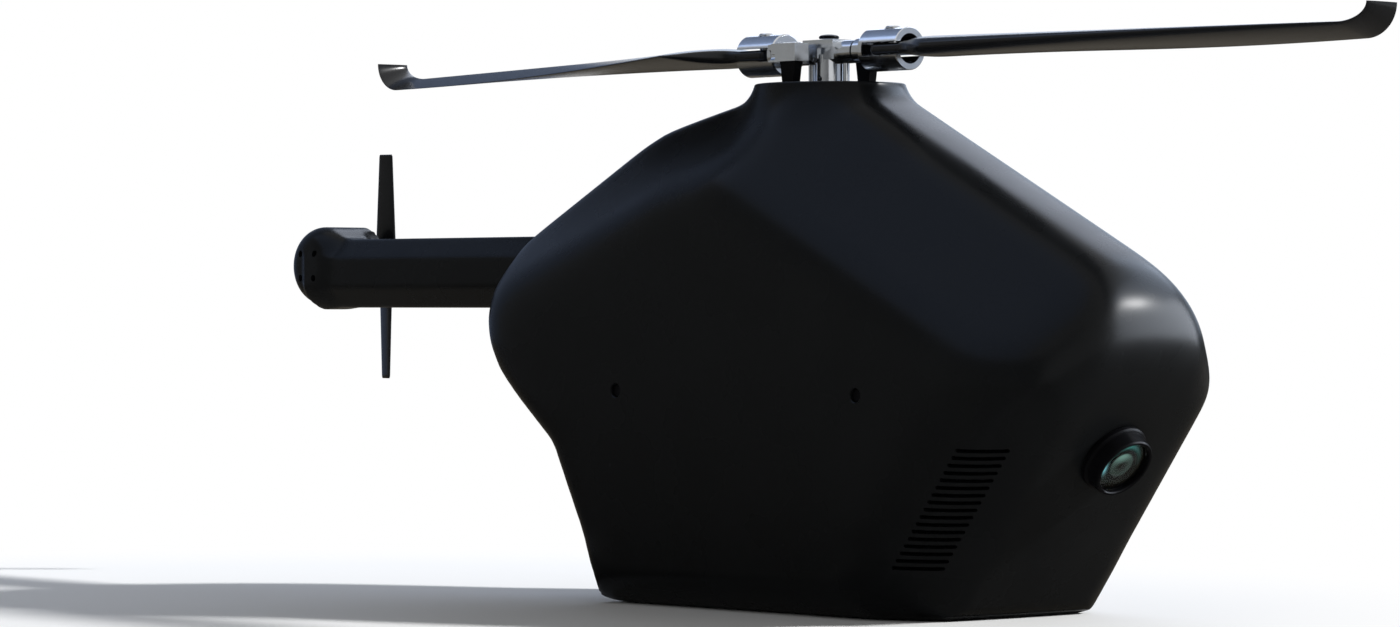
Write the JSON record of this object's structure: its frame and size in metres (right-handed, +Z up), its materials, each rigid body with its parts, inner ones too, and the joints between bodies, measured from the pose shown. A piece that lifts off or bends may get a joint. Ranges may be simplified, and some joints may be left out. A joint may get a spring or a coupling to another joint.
{
  "type": "helicopter drone",
  "caption": "Small single-rotor helicopter drone: faceted black pod with a nose camera, silver rotor head with curled-tip blades, and a tail boom with a side tail rotor.",
  "frame": {"origin": "on the flat belly face, directly under the main mast axis", "axes": "+X to the nose, +Y to port, +Z up along the main mast"},
  "size_m": [0.3577, 0.0676, 0.1284],
  "materials": {
    "moulded_black": "satin moulded black",
    "gloss_black": "gloss black",
    "blade_composite": "satin black fibre-filled plastic",
    "composite": "matt fibre sheet",
    "circuit_case": "matt dark case",
    "battery_wrap": "shrink wrap",
    "aluminium": "bright machined",
    "steel": "ground steel",
    "dark_steel": "black oxide",
    "copper": "enamelled winding",
    "coated_glass": "coated lens glass"
  },
  "bodies": {
    "airframe": {"pod_shell": "moulded_black", "belly_plate": "moulded_black", "belly_screw_1": "dark_steel", "belly_screw_2": "dark_steel", "belly_screw_3": "dark_steel", "belly_screw_4": "dark_steel", "side_screw_front_left": "dark_steel", "side_screw_front_right": "dark_steel", "side_screw_rear_left": "dark_steel", "side_screw_rear_right": "dark_steel", "left_frame_plate": "composite", "right_frame_plate": "composite", "front_canopy_post": "aluminium", "rear_canopy_post": "aluminium", "battery_tray": "composite", "battery": "battery_wrap", "front_shelf": "composite", "rear_shelf": "composite", "speed_controller": "circuit_case", "flight_controller": "circuit_case", "camera_module": "circuit_case", "lens_barrel": "gloss_black", "lens_glass": "coated_glass", "motor_mount": "aluminium", "lower_bearing": "steel", "upper_bearing_block": "aluminium", "upper_bearing": "steel", "main_motor_stator": "copper", "left_servo": "circuit_case", "right_servo": "circuit_case", "rear_servo": "circuit_case", "boom_clamp": "aluminium", "tail_boom": "moulded_black", "tail_motor_base": "copper", "tail_motor_screw_1": "dark_steel", "tail_motor_screw_2": "dark_steel", "tail_motor_screw_3": "dark_steel", "tail_motor_screw_4": "dark_steel"},
    "main_rotor": {"main_mast": "steel", "main_motor_bell": "dark_steel", "rotor_hub": "aluminium", "feathering_spindle": "steel", "head_button": "gloss_black"},
    "swashplate": {"swash_outer_ring": "moulded_black", "left_pushrod": "steel", "right_pushrod": "steel", "rear_pushrod": "steel"},
    "swash_rotor": {"swash_inner_ring": "aluminium"},
    "front_grip_set": {"front_grip": "aluminium", "front_blade_bolt": "steel"},
    "rear_grip_set": {"rear_grip": "aluminium", "rear_blade_bolt": "steel"},
    "front_link": {"front_control_arm": "gloss_black"},
    "rear_link": {"rear_control_arm": "gloss_black"},
    "front_blade_set": {"front_blade": "blade_composite"},
    "rear_blade_set": {"rear_blade": "blade_composite"},
    "tail_rotor_set": {"tail_motor_bell": "dark_steel", "tail_rotor": "blade_composite", "tail_rotor_nut": "gloss_black"}
  },
  "joints": [
    {"name": "main_rotor_spin", "type": "hinge", "parent": "airframe", "child": "main_rotor", "pos_m": [0, 0, 0.1232], "axis": [0, 0, 1], "continuous": true},
    {"name": "tail_rotor_spin", "type": "hinge", "parent": "airframe", "child": "tail_rotor_set", "pos_m": [-0.1815, 0.016, 0.0766], "axis": [0, 1, 0], "continuous": true},
    {"name": "collective_slide", "type": "slide", "parent": "airframe", "child": "swashplate", "axis": [0, 0, 1], "range_m": [-0.0014, 0.0014]},
    {"name": "swash_rotor_slide", "type": "slide", "parent": "main_rotor", "child": "swash_rotor", "axis": [0, 0, 1], "range_m": [-0.0014, 0.0014]},
    {"name": "front_grip_pitch", "type": "hinge", "parent": "main_rotor", "child": "front_grip_set", "pos_m": [0.01, 0, 0.1232], "axis": [1, 0, 0], "range_deg": [-10.8, 10.8]},
    {"name": "rear_grip_pitch", "type": "hinge", "parent": "main_rotor", "child": "rear_grip_set", "pos_m": [-0.01, 0, 0.1232], "axis": [-1, 0, 0], "range_deg": [-10.8, 10.8]},
    {"name": "front_link_swing", "type": "hinge", "parent": "front_grip_set", "child": "front_link", "pos_m": [0.00435, 0.0075, 0.1228], "axis": [1, 0, 0], "range_deg": [-10.8, 10.8]},
    {"name": "rear_link_swing", "type": "hinge", "parent": "rear_grip_set", "child": "rear_link", "pos_m": [-0.00435, -0.0075, 0.1228], "axis": [-1, 0, 0], "range_deg": [-10.8, 10.8]},
    {"name": "front_blade_fold", "type": "hinge", "parent": "front_grip_set", "child": "front_blade_set", "pos_m": [0.0207, 0, 0.1232], "axis": [0, 0, 1], "range_deg": [-80, 80]},
    {"name": "rear_blade_fold", "type": "hinge", "parent": "rear_grip_set", "child": "rear_blade_set", "pos_m": [-0.0207, 0, 0.1232], "axis": [0, 0, 1], "range_deg": [-80, 80]}
  ],
  "couplings": [
    {"joint": "swash_rotor_slide", "follows": "collective_slide", "ratio": 1},
    {"joint": "front_grip_pitch", "follows": "collective_slide", "rad_per_m": 133.33},
    {"joint": "rear_grip_pitch", "follows": "collective_slide", "rad_per_m": 133.33},
    {"joint": "front_link_swing", "follows": "collective_slide", "rad_per_m": -133.33},
    {"joint": "rear_link_swing", "follows": "collective_slide", "rad_per_m": -133.33}
  ]
}
